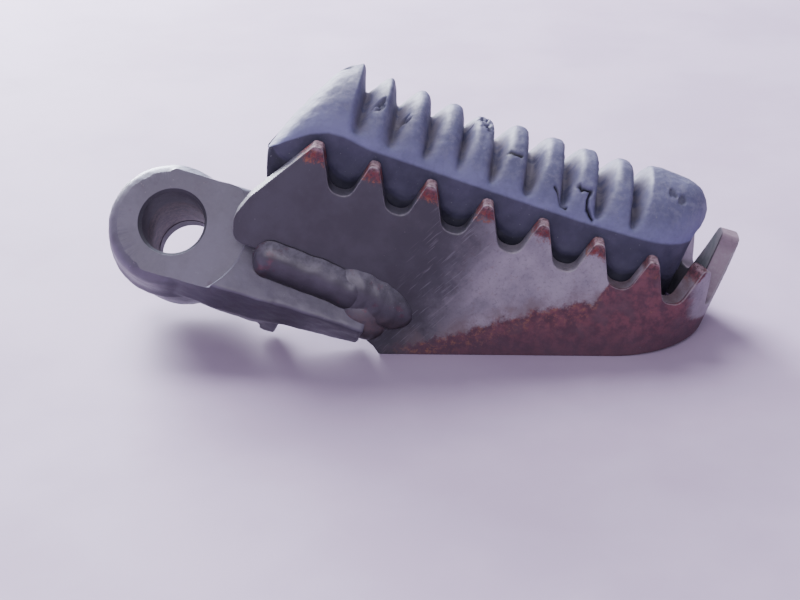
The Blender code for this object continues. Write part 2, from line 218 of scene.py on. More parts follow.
def lathe(name, profile, sides=96):
    """Solid of revolution about local z from (radius, height) points, top to bottom."""
    bm = bmesh.new()
    rings = []
    for r, z in profile:
        if r == 0:
            rings.append([bm.verts.new((0, 0, z))])
            continue
        ring = []
        for k in range(sides):
            a = 2 * math.pi * k / sides
            ring.append(bm.verts.new((r * math.cos(a), r * math.sin(a), z)))
        rings.append(ring)
    for low, high in zip(rings, rings[1:]):
        for k in range(sides):
            quad = [low[k % len(low)], low[(k + 1) % len(low)]]
            quad += [high[(k + 1) % len(high)], high[k % len(high)]]
            unique = list(dict.fromkeys(quad))
            if len(unique) > 2:
                bm.faces.new(unique)
    bmesh.ops.recalc_face_normals(bm, faces=bm.faces)
    mesh = bpy.data.meshes.new(name)
    bm.to_mesh(mesh)
    bm.free()
    return mesh


def skin(name, grid):
    """Closed tube from a (stations, points, 3) grid whose points run round each station."""
    count = grid.shape[1]
    bm = bmesh.new()
    verts = [[bm.verts.new(p) for p in ring] for ring in grid]
    for low, high in zip(verts, verts[1:]):
        for k in range(count):
            n = (k + 1) % count
            bm.faces.new((low[k], low[n], high[n], high[k]))
    bm.faces.new(verts[0])
    bm.faces.new(verts[-1])
    bmesh.ops.recalc_face_normals(bm, faces=bm.faces)
    mesh = bpy.data.meshes.new(name)
    bm.to_mesh(mesh)
    bm.free()
    return mesh


def boolean(obj, tool, operation):
    mod = obj.modifiers.new("cut", "BOOLEAN")
    mod.operation = operation
    mod.solver = "EXACT"
    mod.object = tool
    bpy.context.view_layer.update()
    apply_modifiers(obj)
    drop(tool)


def clean(obj):
    """Dissolve the zero-area slivers that cuts leave behind, on a mesh in millimetres."""
    bm = bmesh.new()
    bm.from_mesh(obj.data)
    bmesh.ops.dissolve_degenerate(bm, edges=bm.edges, dist=SLIVER)
    bmesh.ops.triangulate(bm, faces=[f for f in bm.faces if len(f.verts) > 4])
    bm.to_mesh(obj.data)
    bm.free()


def fuzz(obj, amount, size, seed=0.0):
    """Push vertices along their normals by smooth noise: amount and size in the mesh's units."""
    shift = Vector((seed, seed * 1.7, seed * 0.3))
    normals = [v.normal.copy() for v in obj.data.vertices]
    for vert, normal in zip(obj.data.vertices, normals):
        vert.co += normal * amount * noise.fractal(vert.co / size + shift, 1.0, 2.0, 3)
    obj.data.update()


# ---------------------------------------------------------------- material helpers

class Graph:
    """A material being wired: thin wrappers that return sockets."""

    def __init__(self, name):
        self.mat = bpy.data.materials.new(name)
        self.mat.use_nodes = True
        self.tree = self.mat.node_tree
        self.shader = self.tree.nodes["Principled BSDF"]
        coords = self.tree.nodes.new("ShaderNodeTexCoord").outputs["Object"]
        mapping = self.tree.nodes.new("ShaderNodeMapping")
        mapping.vector_type = "TEXTURE"
        mapping.inputs["Location"].default_value = ORIGIN
        mapping.inputs["Rotation"].default_value = (0.0, LEAN, 0.0)
        mapping.inputs["Scale"].default_value = (MM, MM, MM)
        self.link(coords, mapping.inputs["Vector"])
        self.tread = mapping.outputs["Vector"]
        split = self.tree.nodes.new("ShaderNodeSeparateXYZ")
        self.link(self.tread, split.inputs[0])
        self.s, self.y, self.t = split.outputs
        split = self.tree.nodes.new("ShaderNodeSeparateXYZ")
        self.link(coords, split.inputs[0])
        self.height = self.maths("MULTIPLY", split.outputs[2], 1 / MM)

    def link(self, source, target):
        self.tree.links.new(source, target)

    def feed(self, socket, value):
        if isinstance(value, bpy.types.NodeSocket):
            self.link(value, socket)
        else:
            socket.default_value = value

    def maths(self, op, a, b=0.0, c=0.0, clamp=False):
        node = self.tree.nodes.new("ShaderNodeMath")
        node.operation = op
        node.use_clamp = clamp
        for socket, value in zip(node.inputs, (a, b, c)):
            self.feed(socket, value)
        return node.outputs[0]

    def add(self, *values):
        total = values[0]
        for value in values[1:]:
            total = self.maths("ADD", total, value)
        return total

    def times(self, *values):
        total = values[0]
        for value in values[1:]:
            total = self.maths("MULTIPLY", total, value)
        return total

    def step(self, value, low, high, out_low=0.0, out_high=1.0):
        node = self.tree.nodes.new("ShaderNodeMapRange")
        node.interpolation_type = "SMOOTHSTEP"
        for key, item in (("Value", value), ("From Min", low), ("From Max", high),
                          ("To Min", out_low), ("To Max", out_high)):
            self.feed(node.inputs[key], item)
        return node.outputs[0]

    def noise(self, size, detail=4.0, rough=0.55, stretch=None):
        """Noise between 0 and 1 with features about size millimetres across.

        stretch is (length factor, angle in degrees) of the streaks along the tread's side.
        """
        source = self.tread
        if stretch:
            node = self.tree.nodes.new("ShaderNodeMapping")
            node.vector_type = "TEXTURE"
            node.inputs["Scale"].default_value = (stretch[0], 1.0, 1.0)
            node.inputs["Rotation"].default_value = (0.0, math.radians(stretch[1]), 0.0)
            self.link(source, node.inputs["Vector"])
            source = node.outputs["Vector"]
        node = self.tree.nodes.new("ShaderNodeTexNoise")
        node.inputs["Scale"].default_value = 1.0 / size
        node.inputs["Detail"].default_value = detail
        node.inputs["Roughness"].default_value = rough
        self.link(source, node.inputs["Vector"])
        return node.outputs["Fac"]

    def mix(self, factor, a, b):
        node = self.tree.nodes.new("ShaderNodeMix")
        node.data_type = "RGBA"
        self.feed(node.inputs["Factor"], factor)
        for key, value in ((6, a), (7, b)):
            if isinstance(value, tuple):
                value = (*value, 1.0)
            self.feed(node.inputs[key], value)
        return node.outputs[2]

    def blend(self, factor, a, b):
        """Linear blend of two numbers."""
        return self.add(self.times(self.maths("SUBTRACT", 1.0, factor), a), self.times(factor, b))

    def vector(self, op, a, b):
        node = self.tree.nodes.new("ShaderNodeVectorMath")
        node.operation = op
        self.feed(node.inputs[0], a)
        self.feed(node.inputs[1], b)
        return node.outputs["Value" if op == "DOT_PRODUCT" else "Vector"]

    def about_axis(self, origin, axis):
        """Distance from an axis in the tread frame, and distance along it."""
        spoke = self.vector("SUBTRACT", self.tread, tuple(origin))
        along = self.vector("DOT_PRODUCT", spoke, tuple(axis))
        square = self.vector("DOT_PRODUCT", spoke, spoke)
        gap = self.maths("SUBTRACT", square, self.times(along, along))
        return self.maths("SQRT", self.maths("MAXIMUM", gap, 0.0)), along

    def upward(self, low, high):
        node = self.tree.nodes.new("ShaderNodeNewGeometry")
        split = self.tree.nodes.new("ShaderNodeSeparateXYZ")
        self.link(node.outputs["Normal"], split.inputs[0])
        return self.step(split.outputs[2], low, high)

    def attribute(self, name):
        node = self.tree.nodes.new("ShaderNodeAttribute")
        node.attribute_name = name
        return node.outputs["Fac"]

    def bump(self, layers):
        """Chain of (height socket, strength, distance in millimetres)."""
        normal = None
        for height, strength, distance in layers:
            node = self.tree.nodes.new("ShaderNodeBump")
            node.inputs["Strength"].default_value = strength
            node.inputs["Distance"].default_value = distance * MM
            self.link(height, node.inputs["Height"])
            if normal:
                self.link(normal, node.inputs["Normal"])
            normal = node.outputs["Normal"]
        self.link(normal, self.shader.inputs["Normal"])

    def finish(self, colour, roughness, metallic=0.0, layers=(), specular=None):
        self.feed(self.shader.inputs["Base Color"], colour)
        self.feed(self.shader.inputs["Roughness"], roughness)
        self.feed(self.shader.inputs["Metallic"], metallic)
        if specular is not None:
            self.feed(self.shader.inputs["Specular IOR Level"], specular)
        if layers:
            self.bump(layers)
        return self.mat


BLACK = (0.030, 0.027, 0.038)
BLACK_DUSTY = (0.060, 0.055, 0.076)
DUST = (0.19, 0.18, 0.24)
FORGED = (0.082, 0.072, 0.102)
FORGED_DUSTY = (0.145, 0.133, 0.190)
WELD = (0.048, 0.042, 0.058)
WELD_DUSTY = (0.094, 0.085, 0.116)
BARE = (0.315, 0.280, 0.345)
BARE_DARK = (0.205, 0.184, 0.232)
INNER_FACE_SHADE = (0.022, 0.023, 0.034)
RUST_DARK = (0.066, 0.021, 0.040)
RUST = (0.150, 0.043, 0.064)
RUST_LIGHT = (0.250, 0.100, 0.070)
SPECK = (0.30, 0.28, 0.32)
RUST_PURPLE = (0.095, 0.050, 0.072)
TOP_HIGHLIGHT = (0.36, 0.38, 0.50)
SHADED = (0.026, 0.025, 0.032)
BORE_PAINT = (0.016, 0.015, 0.021)
BORE_DARK = (0.024, 0.016, 0.018)
BORE_BROWN = (0.078, 0.052, 0.050)
GRIME = (0.085, 0.075, 0.098)
TARNISH = (0.19, 0.12, 0.11)
SCRATCH = (0.24, 0.22, 0.27)
EMBER = (0.235, 0.100, 0.060)
RUST_NEAR_GROUND = (0.066, 0.030, 0.056)
FRINGE = (0.150, 0.088, 0.082)
SCAB = (0.045, 0.020, 0.030)
TIP_RED = (0.150, 0.018, 0.022)
TIP_ORANGE = (0.300, 0.115, 0.055)
OUTER_END = (0.31, 0.275, 0.32)
TIP_WORN = (0.26, 0.18, 0.225)
RIM_WEAR_AND_HIGHLIGHT = (0.34, 0.30, 0.36)
END_FLANK = (0.230, 0.165, 0.225)
WELD_BROWN = (0.120, 0.080, 0.092)
WELD_SHEEN = (0.26, 0.245, 0.31)
WELD_UNDER_SHADE = (0.012, 0.010, 0.014)
RUBBER_DARK = (0.042, 0.041, 0.076)
RUBBER_LIGHT = (0.066, 0.063, 0.112)
POWDER_AND_LIGHT = (0.222, 0.230, 0.440)
SCUFF = (0.25, 0.25, 0.33)
GROOVE_TAN = (0.27, 0.24, 0.275)
GROOVE_SHADE = (0.020, 0.020, 0.036)
NOTCH_SHADE = (0.010, 0.010, 0.017)
RUBBER_SPECK = (0.22, 0.23, 0.26)
CRACK_DARK = (0.008, 0.008, 0.011)


def paint_layers(g, deep=BLACK, dusty=BLACK_DUSTY):
    """Old satin paint: colour, roughness and fine relief shared by every painted piece."""
    cloud = g.step(g.noise(9.0, 5.0, 0.6), 0.38, 0.66)
    fine = g.noise(0.9, 6.0, 0.7)
    grain = g.noise(0.28, 3.0, 0.6)
    colour = g.mix(g.times(cloud, 0.55), deep, dusty)
    dust = g.times(g.upward(0.0, 0.95), g.add(0.34, g.times(g.step(fine, 0.35, 0.75), 0.16)))
    colour = g.mix(dust, colour, DUST)
    specks = g.times(g.step(g.noise(0.55, 2.0, 0.5), 0.70, 0.78), g.step(g.noise(6.0, 2.0), 0.42, 0.6), 0.5)
    colour = g.mix(specks, colour, SPECK)
    rough = g.add(0.30, g.times(cloud, 0.14), g.times(fine, 0.12))
    return colour, rough, fine, grain


def rust_layers(g):
    blotch = g.noise(2.2, 6.0, 0.65)
    spots = g.noise(0.5, 4.0, 0.7)
    patch = g.noise(7.0, 4.0, 0.6)
    colour = g.mix(g.step(blotch, 0.38, 0.64), RUST_DARK, RUST)
    colour = g.mix(g.times(g.step(patch, 0.50, 0.66), 0.6), colour, RUST_PURPLE)
    colour = g.mix(g.times(g.step(spots, 0.56, 0.72), g.step(blotch, 0.46, 0.66), 0.75), colour, RUST_LIGHT)
    return colour, spots


def forged_material():
    g = Graph("forged_black_paint")
    colour, rough, fine, grain = paint_layers(g, FORGED, FORGED_DUSTY)
    rust, spots = rust_layers(g)
    stain = g.times(g.step(g.noise(4.0, 4.0), 0.62, 0.74), 0.35)
    colour = g.mix(stain, colour, RUST_DARK)
    # painted highlight: upward faces lightened as if lit from above and behind
    top_highlight = g.times(g.upward(0.74, 0.98), g.step(fine, 0.20, 0.60), 0.80)
    colour = g.mix(top_highlight, colour, TOP_HIGHLIGHT)
    shaded = g.times(g.upward(-0.05, -0.50), 0.55)
    colour = g.mix(shaded, colour, SHADED)
    radius, depth = g.about_axis(EYE, EYE_AXIS)
    inside = g.step(radius, BORE_R + 0.62, BORE_R + 0.50)
    depth = g.times(depth, 1 / EYE_LENGTH)
    middle = g.times(inside, g.step(depth, 0.24, 0.34), g.step(g.add(depth, g.times(fine, 0.05)), 0.90, 0.82))
    bore_colour = g.mix(g.step(fine, 0.35, 0.7), BORE_DARK, BORE_BROWN)
    colour = g.mix(g.times(inside, 0.7), colour, BORE_PAINT)
    colour = g.mix(middle, colour, bore_colour)
    rough = g.add(rough, g.times(inside, 0.22))
    forged = g.noise(3.0, 3.0)
    return g.finish(colour, rough, 0.15, [(forged, 0.25, 0.35), (fine, 0.35, 0.10), (grain, 0.30, 0.04)])


def band_material():
    g = Graph("band_worn_paint")
    paint, paint_rough, fine, grain = paint_layers(g)
    wide = g.noise(7.0, 5.0, 0.6)
    wobble = g.times(g.maths("SUBTRACT", wide, 0.5), 14.0)
    small = g.times(g.maths("SUBTRACT", fine, 0.5), 2.5)
    # bare grey from a slanting front at about a third of the length outwards
    front = g.add(g.s, g.times(g.t, -0.14), wobble, small)
    bare = g.step(front, 30.0, 41.0)
    smear = g.times(g.step(g.noise(5.0, 3.0, 0.6, (3.5, -63.0)), 0.44, 0.60),
                    g.step(g.s, 46.0, 28.0), 0.48)
    bare = g.times(bare, g.maths("SUBTRACT", 1.0, smear))
    steel = g.mix(g.step(wide, 0.35, 0.68), BARE, BARE_DARK)
    steel = g.mix(g.times(g.step(g.noise(0.7, 5.0, 0.75), 0.50, 0.72), 0.55), steel, GRIME)
    steel = g.mix(g.times(g.step(g.noise(1.6, 3.0, 0.6), 0.58, 0.72), 0.35), steel, TARNISH)
    scratch = g.noise(0.34, 2.0, 0.5, (16.0, -63.0))
    scratch = g.times(g.step(scratch, 0.57, 0.67), g.step(g.s, 20.0, 27.0), g.step(g.s, 44.0, 36.0), 0.26)
    colour = g.mix(bare, paint, steel)
    colour = g.mix(scratch, colour, SCRATCH)
    past = g.maths("MAXIMUM", g.add(g.s, -BEND_START), 0.0)
    across = g.add(g.y, -BEND_R)
    radius = g.maths("SQRT", g.add(g.times(past, past), g.times(across, across)))
    depth = g.maths("SUBTRACT", BEND_R, radius)
    inner = g.step(depth, 3.35, 3.65)
    # rust climbing from the ground edge, higher towards the outer end
    reach = g.add(g.s, small, g.times(g.height, 0.35), g.step(g.height, 7.0, 2.0, 0.0, -6.0))
    climb = g.add(2.4, g.times(g.step(g.s, 24.0, 58.0), 9.5), g.times(g.step(g.s, 58.0, 61.5), 12.0))
    climb = g.add(climb, g.times(g.maths("SUBTRACT", g.noise(3.2, 6.0, 0.7), 0.5), 7.0), small)
    low = g.step(g.maths("SUBTRACT", climb, g.height), -0.5, 1.3)
    low = g.times(low, g.step(g.add(g.s, wobble), 22.0, 33.0), g.step(reach, 81.0, 78.5, 0.15, 1.0))
    # rusty tooth tips
    below = g.add(g.t, g.step(g.s, 75.5, 77.5, 0.0, -END_TIP_T))
    ragged = g.times(g.maths("SUBTRACT", g.noise(1.8, 4.0, 0.7), 0.5), 5.0)
    tip = g.step(g.add(below, ragged), -3.4, -1.9)
    tip = g.times(tip, g.step(g.s, 78.0, 76.0, 0.6, 1.0))
    rust, spots = rust_layers(g)
    rusty = g.maths("MAXIMUM", low, tip)
    rusty = g.times(rusty, g.step(g.noise(1.2, 5.0, 0.8), 0.22, 0.34))
    edge_face = g.times(g.step(depth, 0.45, 0.70), g.step(below, -1.6, -3.0), 0.75)
    rusty = g.times(rusty, g.maths("SUBTRACT", 1.0, edge_face))
    # rust darker towards the ground edge
    rust = g.mix(g.step(g.height, 8.0, 1.0, 0.0, 0.65), rust, RUST_NEAR_GROUND)
    above = g.maths("SUBTRACT", climb, g.height)
    ember = g.times(g.step(above, 6.5, 1.5), g.step(g.noise(1.1, 5.0, 0.75), 0.50, 0.64), 0.7)
    rust = g.mix(ember, rust, EMBER)
    fringe = g.times(g.step(above, -4.5, 0.0), g.step(g.s, 24.0, 34.0), 0.45)
    fringe = g.times(fringe, g.step(wide, 0.35, 0.60), g.step(g.s, 76.0, 73.0))
    colour = g.mix(fringe, colour, FRINGE)
    colour = g.mix(g.times(rusty, 0.95), colour, rust)
    mottle = g.noise(0.9, 5.0, 0.75)
    painted = g.step(g.s, 60.0, 54.0, 0.35, 1.0)
    scab = g.times(tip, g.step(mottle, 0.52, 0.40), 0.75)
    colour = g.mix(scab, colour, SCAB)
    blood = g.times(tip, g.step(below, -0.5, -1.3), g.step(mottle, 0.44, 0.60), painted, 0.85)
    colour = g.mix(blood, colour, TIP_RED)
    glow = g.times(tip, g.step(below, -1.9, -2.9), g.step(fine, 0.46, 0.58), painted, 0.75)
    colour = g.mix(glow, colour, TIP_ORANGE)
    # bright worn crests of the teeth
    outer_end = g.times(g.step(g.s, 77.0, 79.0), g.maths("SUBTRACT", 1.0, rusty), 0.45)
    outer_end = g.times(outer_end, g.maths("SUBTRACT", 1.0, inner))
    colour = g.mix(outer_end, colour, OUTER_END)
    crest = g.times(g.step(below, -0.9, -0.2), g.step(fine, 0.36, 0.60), 0.75)
    colour = g.mix(crest, colour, TIP_WORN)
    # edge wear and painted highlight: the bevelled rims lightened into a thin light line
    rim = g.times(g.step(depth, 0.04, 0.12), g.step(depth, 0.42, 0.30), g.step(fine, 0.30, 0.55), 0.42)
    colour = g.mix(rim, colour, RIM_WEAR_AND_HIGHLIGHT)
    flank = g.times(g.step(depth, 0.35, 0.55), g.step(g.s, 76.5, 78.5), g.step(g.y, 26.0, 23.0))
    flank = g.times(flank, g.step(fine, 0.30, 0.60, 0.4, 0.85))
    colour = g.mix(flank, colour, END_FLANK)
    # painted shade: the inner face of the band, between wall and rubber, darkened nearly to black
    colour = g.mix(g.times(inner, g.step(wide, 0.30, 0.60, 0.97, 0.80)), colour, INNER_FACE_SHADE)
    rough = g.blend(bare, paint_rough, g.add(0.44, g.times(fine, 0.2)))
    rough = g.blend(rusty, rough, g.add(0.62, g.times(spots, 0.25)))
    rough = g.blend(inner, rough, 0.85)
    outside = g.maths("SUBTRACT", 1.0, inner)
    metal = g.times(bare, outside, g.maths("SUBTRACT", 1.0, rusty), 0.25)
    relief = g.times(rusty, spots)
    return g.finish(colour, rough, metal, [
        (wide, 0.2, 0.3), (relief, 0.6, 0.22), (fine, 0.3, 0.08), (grain, 0.25, 0.03)
    ], g.step(inner, 0.0, 1.0, 0.5, 0.12))


def weld_material():
    g = Graph("weld_black_paint")
    colour, rough, fine, grain = paint_layers(g, WELD, WELD_DUSTY)
    rust, spots = rust_layers(g)
    stain = g.step(g.add(g.noise(3.0, 5.0, 0.6), g.step(g.s, 2.0, -6.0, 0.0, 0.12)), 0.60, 0.70)
    colour = g.mix(g.times(stain, 0.6), colour, rust)
    corner = g.times(g.step(g.s, 14.0, 18.0), g.step(g.t, -26.5, -30.0), g.step(fine, 0.25, 0.60), 0.8)
    colour = g.mix(corner, colour, WELD_BROWN)
    sheen = g.times(g.upward(0.25, 0.95), g.step(fine, 0.30, 0.62), 0.40)
    colour = g.mix(sheen, colour, WELD_SHEEN)
    # painted shade: downward faces of the beads darkened nearly to black
    under = g.times(g.upward(0.0, -0.55), 0.75)
    colour = g.mix(under, colour, WELD_UNDER_SHADE)
    return g.finish(colour, g.maths("SUBTRACT", rough, 0.02), 0.2, [(fine, 0.4, 0.12), (grain, 0.3, 0.04)])


def rubber_material():
    g = Graph("grip_rubber_aged")
    broad = g.noise(8.0, 4.0, 0.6)
    fine = g.noise(0.8, 6.0, 0.7)
    grain = g.noise(0.22, 3.0, 0.6)
    colour = g.mix(g.step(broad, 0.35, 0.65), RUBBER_DARK, RUBBER_LIGHT)
    crown = g.attribute("crown")
    # powder bloom on the crown with painted light: more low on the crown where it turns down to the shoulder,
    # less on top
    powder_and_light = g.times(crown, g.step(g.add(broad, g.times(fine, 0.5)), 0.50, 0.95, 0.55, 0.85))
    powder_and_light = g.times(powder_and_light, g.step(g.attribute("lift"), 0.15, 0.85, 0.92, 0.46))
    colour = g.mix(g.times(powder_and_light, 0.88), colour, POWDER_AND_LIGHT)
    scuff = g.times(g.attribute("crest"), g.step(g.noise(1.4, 5.0, 0.7), 0.44, 0.64), 0.30)
    colour = g.mix(scuff, colour, SCUFF)
    tan = g.times(g.attribute("groove"), g.step(g.noise(3.0, 4.0, 0.6), 0.36, 0.58), 0.60)
    colour = g.mix(tan, colour, GROOVE_TAN)
    # painted shade: grooves between the ribs darkened down the crown's sides
    deep = g.times(g.attribute("groove"), g.step(g.attribute("lift"), 0.98, 0.60), 0.65)
    colour = g.mix(deep, colour, GROOVE_SHADE)
    # painted shade: dark arcs on the rubber's sides along the bottoms of the band's notches
    notch = g.maths("SUBTRACT", g.maths("FRACT", g.times(g.add(g.s, -0.85), 1 / PITCH)), 0.5)
    arc = g.add(g.t, 6.4, g.times(notch, notch, -17.0))
    notch_shade = g.times(g.step(arc, 0.35, -0.35), g.maths("SUBTRACT", 1.0, crown), 0.6)
    colour = g.mix(notch_shade, colour, NOTCH_SHADE)
    specks = g.times(g.step(g.noise(0.45, 2.0), 0.70, 0.76), 0.5)
    colour = g.mix(specks, colour, RUBBER_SPECK)
    colour = g.mix(g.attribute("crack"), colour, CRACK_DARK)
    rough = g.add(0.48, g.times(powder_and_light, 0.12), g.times(fine, 0.14))
    return g.finish(colour, rough, 0.0, [
        (g.noise(2.6, 4.0, 0.6), 0.35, 0.30), (fine, 0.40, 0.14), (grain, 0.35, 0.04)], 0.36)


def zinc_material():
    g = Graph("zinc_plate_dull")
    broad = g.noise(3.0, 5.0, 0.6)
    fine = g.noise(0.5, 5.0, 0.7)
    colour = g.mix(g.step(broad, 0.35, 0.65), (0.46, 0.44, 0.40), (0.30, 0.29, 0.27))
    colour = g.mix(g.times(g.step(fine, 0.55, 0.70), 0.5), colour, (0.20, 0.12, 0.08))
    rough = g.add(0.32, g.times(fine, 0.25))
    return g.finish(colour, rough, 0.85, [(fine, 0.25, 0.05)])


# ---------------------------------------------------------------- toothed band

def floor_t(s):
    return (s * math.sin(LEAN) - TIP_HEIGHT) / math.cos(LEAN)


def blank_top():
    """Toothed edge of the flat blank from the inboard tooth to the end tooth's tip."""
    def tip(s, left, right):
        wear = rng.uniform(-0.25, 0.05)
        lean = rng.uniform(-0.15, 0.15)
        return [(s - left + lean, 0.1 + wear, 0.85), (s + right + lean, 0.1 + wear, 0.85)]

    corners = [(-0.9, 0.1, 0.8)]
    for k in range(SIDE_TEETH):
        s = k * PITCH
        if k == 0:
            corners.append((0.8, 0.1, 0.8))
        corners.append((s + 4.4, NOTCH_T, 2.4))
        corners.append((s + 8.2, NOTCH_T, 2.2))
        corners += tip(s + PITCH, 0.9, 0.8)
    corner_tip = BEND_START + BEND_R * math.radians(38.5)
    corners[-3:] = [
        (corner_tip - 3.2, NOTCH_T, 2.1),
        (corner_tip - 1.1, 0.1, 0.8),
        (corner_tip + 0.9, 0.1, 0.8),
    ]
    end_notch = BEND_START + BEND_R * math.radians(60.0)
    corners.append((end_notch - 1.6, -8.0, 1.6))
    corners.append((end_notch + 1.8, -8.0, 1.6))
    corners.append((BEND_START + BEND_R * math.pi / 2 - 2.4, END_TIP_T, 1.5))
    return corners


def blank_bottom(inboard_end):
    """Lower edge of the flat blank from the inboard end to the middle of the bend."""
    corners = inboard_end + [
        (19.0, WALL_LOW_T, 1.6),
        (20.4, -34.6, 0.8),
        (22.0, -35.2, 0.8),
        (23.7, floor_t(23.7), 0.5),
    ]
    half = BEND_STEPS // 2
    for k in range(half + 1):
        angle = math.pi / 2 * k / half
        s = BEND_START + BEND_R * math.sin(angle)
        corners.append((BEND_START + BEND_R * angle, floor_t(s) + END_RISE * math.sin(angle), 0))
    return corners


def bend(mesh):
    """Wrap the flat blank round the outer end; its near face becomes the outer skin."""
    bm = bmesh.new()
    bm.from_mesh(mesh)
    turn = math.pi / BEND_STEPS
    for k in range(BEND_STEPS + 1):
        cut = BEND_START + BEND_R * turn * k
        everything = bm.verts[:] + bm.edges[:] + bm.faces[:]
        bmesh.ops.bisect_plane(bm, geom=everything, dist=1e-4, plane_co=(cut, 0, 0), plane_no=(1, 0, 0))
    bmesh.ops.triangulate(bm, faces=bm.faces)
    arc = BEND_R * math.pi
    for vert in bm.verts:
        u = vert.co.x
        depth = BAND_T / 2 - vert.co.z
        if u <= BEND_START:
            s, y = u, depth
        elif u < BEND_START + arc:
            angle = (u - BEND_START) / BEND_R
            s = BEND_START + (BEND_R - depth) * math.sin(angle)
            y = BEND_R - (BEND_R - depth) * math.cos(angle)
        else:
            s, y = 2 * BEND_START + arc - u, BAND_WIDTH - depth
        vert.co = Vector((s, y, vert.co.y))
    bmesh.ops.recalc_face_normals(bm, faces=bm.faces)
    bm.to_mesh(mesh)
    bm.free()


def make_band():
    near = blank_bottom(NEAR_END)[::-1] + blank_top()
    far = blank_bottom(FAR_END)[::-1] + blank_top()
    middle = BEND_START + BEND_R * math.pi / 2
    far = [(2 * middle - u, t, r) for u, t, r in reversed(far)]
    mesh = slab("band_skin", [rounded(near + far[:-1])], BAND_T, EDGE_R, 3)
    bend(mesh)
    band = add_mesh("band_skin", mesh)
    clean(band)
    seat(band)
    smooth(band, 40)
    weight_normals(band)
    return band


# ---------------------------------------------------------------- forged arm and eye

def arm_axes():
    return Matrix((
        (1, 0, 0),
        (0, math.sin(ARM_TILT), -math.cos(ARM_TILT)),
        (0, math.cos(ARM_TILT), math.sin(ARM_TILT)),
    ))


def eye_axes():
    out = -EYE_AXIS
    across = (Vector((1, 0, 0)) - out * out.x).normalized()
    return Matrix((across, out.cross(across), out)).transposed()


def arm_ring(p_mid, p_slope, face, part, part_n, back, back_n):
    section = (
        (face[0], ARM_FACE),
        (face[1], ARM_FACE),
        (part[1], part_n),
        (back[1], back_n),
        (back[0], back_n),
        (part[0], part_n),
    )
    return [(p_mid + p_slope * q, q, -n) for q, n in section]


def placed(name, mesh, origin, axes):
    mesh.transform(Matrix.Translation(origin) @ axes.to_4x4())
    return add_mesh(name, mesh)


def make_forging():
    rings = [
        arm_ring(-3.0, 0.0, (-9.6, 9.6), (-11.4, 11.4), 6.0, (-9.0, 9.0), 12.4),
        arm_ring(12.0, 0.0, (-10.4, 10.0), (-11.9, 12.8), 6.5, (-10.6, 10.5), 12.8),
        arm_ring(20.5, 0.0, (-10.2, 10.0), (-11.7, 12.8), 6.5, (-10.8, 10.2), 12.6),
        arm_ring(26.0, 0.0, (-9.9, 10.0), (-11.2, 12.6), 5.6, (-9.8, 10.4), 9.0),
        arm_ring(40.1, -0.09, (-9.9, 10.0), (-10.6, 12.4), 3.8, (-9.1, 10.4), 6.9),
    ]
    arm = placed("arm", skin("arm", np.array(rings)), EYE, arm_axes())
    corner = [math.radians(a) for a in range(90, -1, -15)]
    profile = [(0.0, 0.6), (9.3, 0.6)]
    profile += [(9.5 + 2.6 * math.cos(a), 2.6 * (math.sin(a) - 1)) for a in corner]
    profile += [(12.55, -6.6), (13.05, -7.4), (13.05, -8.4), (12.55, -9.2)]
    profile += [(9.1 + 2.0 * math.cos(a), -EYE_LENGTH + 2.0 * (1 - math.sin(a))) for a in reversed(corner)]
    profile.append((0.0, -EYE_LENGTH))
    eye = placed("eye", lathe("eye", profile), EYE + EYE_SHIFT, eye_axes())
    heel_rings = [
        [(p, q, -n) for q, n in ((-10.6, 5.0), (-4.6, 5.0), (-6.2, 13.8), (-11.4, 13.9))]
        for p in (22.0, 25.4)
    ]
    heel = placed("heel", skin("heel", np.array(heel_rings)), EYE, arm_axes())
    boolean(arm, eye, "UNION")
    boolean(arm, heel, "UNION")
    remesh = arm.modifiers.new("remesh", "REMESH")
    remesh.mode = "VOXEL"
    remesh.voxel_size = 0.38
    apply_modifiers(arm)
    relax = arm.modifiers.new("relax", "SMOOTH")
    relax.factor = 0.5
    relax.iterations = 12
    apply_modifiers(arm)
    fuzz(arm, 0.10, 3.0, 1.0)
    spot = lathe("spot", [(0.0, 14.0), (SPOT_R, 14.0), (SPOT_R, 0.5), (SPOT_R - 0.5, 0.0), (0.0, 0.0)])
    boolean(arm, placed("spot", spot, EYE, eye_axes()), "DIFFERENCE")
    reamer = lathe("reamer", [
        (0.0, 5.0), (BORE_R + 0.6, 5.0), (BORE_R + 0.6, 0.0), (BORE_R, -0.6),
        (BORE_R, -19.9), (BORE_R + 0.12, -20.0), (BORE_R + 0.12, -20.4), (BORE_R, -20.5),
        (BORE_R, 0.6 - EYE_LENGTH), (BORE_R + 0.6, -EYE_LENGTH), (BORE_R + 0.6, -EYE_LENGTH - 5.0),
        (0.0, -EYE_LENGTH - 5.0),
    ])
    boolean(arm, placed("reamer", reamer, EYE, eye_axes()), "DIFFERENCE")
    arm.name = "forging_skin"
    arm.data.name = "forging_skin"
    clean(arm)
    seat(arm)
    smooth(arm, 28)
    weight_normals(arm)
    return arm


def set_attribute(obj, name, values):
    layer = obj.data.attributes.new(name, "FLOAT", "POINT")
    layer.data.foreach_set("value", np.asarray(values, np.float32))


# ---------------------------------------------------------------- rubber insert

